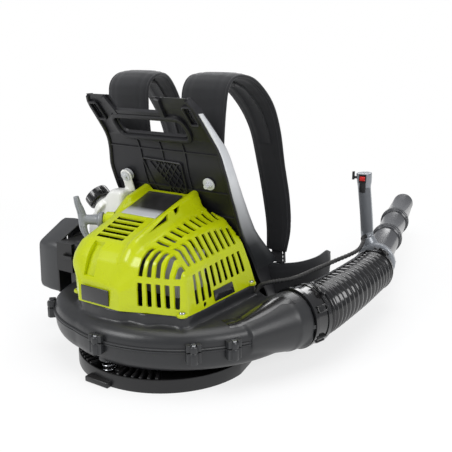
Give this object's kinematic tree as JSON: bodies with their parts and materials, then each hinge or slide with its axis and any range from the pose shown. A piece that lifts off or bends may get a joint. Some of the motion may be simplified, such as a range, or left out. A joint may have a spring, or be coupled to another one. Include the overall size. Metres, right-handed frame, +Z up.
{
  "type": "backpack leaf blower",
  "caption": "Petrol backpack blower: harness frame, sprung engine and fan housing, ribbed hose, jointed tubes and a trigger handle.",
  "frame": {"origin": "on the ground under the crankshaft, on the flat bottom of the base foot", "axes": "+Z up along the crankshaft, +Y the wearer's forward, +X the wearer's right, the side of the blower tube"},
  "size_m": [0.5805, 1.318, 0.5111],
  "materials": {
    "black_plastic": "satin",
    "silver_trim": "satin",
    "steel_fasteners": "brushed",
    "rubber_black": "matte",
    "spring_steel": "polished",
    "pad_fabric": "matte",
    "webbing_black": "matte",
    "charcoal_plastic": "satin",
    "cover_green": "gloss",
    "cast_aluminium": "matte",
    "ceramic_white": "gloss",
    "muffler_silver": "satin",
    "insulator_brown": "matte",
    "filter_foam": "matte",
    "tank_white": "satin",
    "fuel_line_amber": "matte",
    "machined_steel": "brushed",
    "rope_white": "matte",
    "grip_grey": "satin",
    "hose_black": "gloss",
    "tube_charcoal": "satin",
    "handle_grey": "satin",
    "switch_red": "gloss",
    "bulb_clear": "satin"
  },
  "bodies": {
    "carrier": {"base_foot": "charcoal_plastic", "backplate": "black_plastic", "side_trims": "silver_trim", "backplate_bolts": "steel_fasteners", "isolator_mounts": "rubber_black", "coil_springs": "spring_steel", "shoulder_strap_right": "pad_fabric", "shoulder_strap_left": "pad_fabric", "back_pad": "pad_fabric", "hip_pads": "pad_fabric", "strap_webbing": "webbing_black", "strap_buckles": "black_plastic"},
    "engine": {"volute_lower": "charcoal_plastic", "volute_upper": "charcoal_plastic", "case_screws": "steel_fasteners", "intake_guard": "black_plastic", "engine_cover": "cover_green", "crankcase": "cast_aluminium", "cylinder": "cast_aluminium", "spark_plug": "ceramic_white", "plug_boot": "rubber_black", "ignition_coil": "black_plastic", "muffler": "muffler_silver", "insulator_block": "insulator_brown", "carburettor": "cast_aluminium", "filter_base": "black_plastic", "filter_element": "filter_foam", "starter_housing": "black_plastic", "rope_guide": "black_plastic", "fuel_tank": "tank_white", "fuel_lines": "fuel_line_amber", "hose_cuff": "charcoal_plastic", "hose_clamp_rear": "black_plastic", "main_bearings": "machined_steel"},
    "rotor": {"crankshaft": "machined_steel", "flywheel": "cast_aluminium", "impeller": "charcoal_plastic"},
    "piston_body": {"piston": "machined_steel"},
    "rod_body": {"connecting_rod": "machined_steel"},
    "starter_handle": {"starter_grip": "grip_grey", "starter_rope": "rope_white"},
    "rope_pulley": {"starter_pulley": "ceramic_white"},
    "cap_thread": {"cap_seal": "rubber_black"},
    "cap": {"fuel_cap": "black_plastic"},
    "primer": {"primer_bulb": "bulb_clear"},
    "choke": {"choke_lever": "black_plastic"},
    "throttle": {"throttle_shaft": "machined_steel"},
    "filter_lid": {"filter_cover": "charcoal_plastic"},
    "filter_screw": {"filter_knob": "black_plastic"},
    "hose": {"flex_hose": "hose_black", "throttle_cable": "rubber_black"},
    "blower_tube": {"lower_tube": "tube_charcoal", "hose_clamp_front": "black_plastic"},
    "mid_tube": {"middle_tube": "tube_charcoal"},
    "nozzle": {"nozzle_tube": "tube_charcoal"},
    "handle": {"handle_body": "handle_grey", "handle_grip": "rubber_black"},
    "trigger": {"throttle_trigger": "black_plastic"},
    "cruise": {"cruise_lever": "black_plastic"},
    "switch": {"stop_switch": "switch_red"}
  },
  "joints": [
    {"name": "engine_float", "type": "slide", "parent": "carrier", "child": "engine", "axis": [0, 0, 1], "range_m": [-0.002, 0.002], "stiffness_N_per_m": 45000, "springref_m": 0.0019, "deforming": ["coil_springs"]},
    {"name": "rotor_spin", "type": "hinge", "parent": "engine", "child": "rotor", "pos_m": [0, 0, 0.1], "axis": [0, 0, 1], "continuous": true},
    {"name": "piston_stroke", "type": "slide", "parent": "engine", "child": "piston_body", "axis": [0, 1, 0], "range_m": [0, 0.032]},
    {"name": "rod_swing", "type": "hinge", "parent": "piston_body", "child": "rod_body", "pos_m": [0, -0.078, 0.177], "axis": [0, 0, 1], "range_deg": [-11, 11]},
    {"name": "starter_pull", "type": "slide", "parent": "engine", "child": "starter_handle", "axis": [-0.866, -0.5, 0], "range_m": [0, 0.09], "stiffness_N_per_m": 60, "springref_m": -0.01},
    {"name": "pulley_spin", "type": "hinge", "parent": "engine", "child": "rope_pulley", "pos_m": [0, 0, 0.244], "axis": [0, 0, 1], "range_deg": [-200, 200]},
    {"name": "cap_lift", "type": "slide", "parent": "engine", "child": "cap_thread", "axis": [-0.7507, 0, 0.6607], "range_m": [0, 0.012]},
    {"name": "cap_turn", "type": "hinge", "parent": "cap_thread", "child": "cap", "pos_m": [-0.1585, 0.004, 0.2515], "axis": [-0.7507, 0, 0.6607], "range_deg": [0, 1080]},
    {"name": "primer_press", "type": "slide", "parent": "engine", "child": "primer", "axis": [0, 0, 1], "range_m": [0, 0.004], "stiffness_N_per_m": 500, "springref_m": -0.001},
    {"name": "choke_swing", "type": "hinge", "parent": "engine", "child": "choke", "pos_m": [-0.175, -0.09, 0.16], "axis": [0, 1, 0], "range_deg": [0, 60]},
    {"name": "throttle_turn", "type": "hinge", "parent": "engine", "child": "throttle", "pos_m": [-0.064, -0.07, 0.177], "axis": [0, 0, 1], "range_deg": [0, 70]},
    {"name": "filter_lid_pull", "type": "slide", "parent": "engine", "child": "filter_lid", "axis": [-1, 0, 0], "range_m": [0, 0.03]},
    {"name": "filter_screw_turn", "type": "hinge", "parent": "filter_lid", "child": "filter_screw", "pos_m": [-0.256, -0.048, 0.15], "axis": [-1, 0, 0], "range_deg": [0, 90]},
    {"name": "hose_yaw", "type": "hinge", "parent": "engine", "child": "hose", "pos_m": [0.26264, 0.09469, 0.08], "axis": [0, 0, 1], "range_deg": [-20, 4], "deforming": ["flex_hose", "throttle_cable"]},
    {"name": "tube_pitch", "type": "hinge", "parent": "hose", "child": "blower_tube", "pos_m": [0.255, 0.41, 0.08], "axis": [0.9664, 0.2571, 0], "range_deg": [-3, 30], "deforming": ["flex_hose", "throttle_cable"]},
    {"name": "middle_tube_twist", "type": "hinge", "parent": "blower_tube", "child": "mid_tube", "pos_m": [0.18763, 0.66319, 0.08], "axis": [-0.2571, 0.9664, 0], "range_deg": [0, 30]},
    {"name": "nozzle_twist", "type": "hinge", "parent": "mid_tube", "child": "nozzle", "pos_m": [0.1398, 0.84294, 0.08], "axis": [-0.2571, 0.9664, 0], "range_deg": [0, 30]},
    {"name": "handle_turn", "type": "hinge", "parent": "blower_tube", "child": "handle", "pos_m": [0.2406, 0.46412, 0.08], "axis": [-0.2571, 0.9664, 0], "range_deg": [-15, 15]},
    {"name": "trigger_pull", "type": "hinge", "parent": "handle", "child": "trigger", "pos_m": [0.19147, 0.48933, 0.264], "axis": [0.9664, 0.2571, 0], "range_deg": [-16, 0], "stiffness_Nm_per_rad": 0.3, "springref_deg": 5.73},
    {"name": "cruise_turn", "type": "hinge", "parent": "handle", "child": "cruise", "pos_m": [0.18012, 0.46975, 0.266], "axis": [0.9664, 0.2571, 0], "range_deg": [0, 45]},
    {"name": "switch_rock", "type": "hinge", "parent": "handle", "child": "switch", "pos_m": [0.19944, 0.45937, 0.266], "axis": [0.9664, 0.2571, 0], "range_deg": [-6, 6]}
  ],
  "couplings": [
    {"joint": "pulley_spin", "follows": "starter_pull", "rad_per_m": -34.423},
    {"joint": "cap_turn", "follows": "cap_lift", "rad_per_m": 1570.7},
    {"joint": "throttle_turn", "follows": "trigger_pull", "ratio": -4.2}
  ]
}
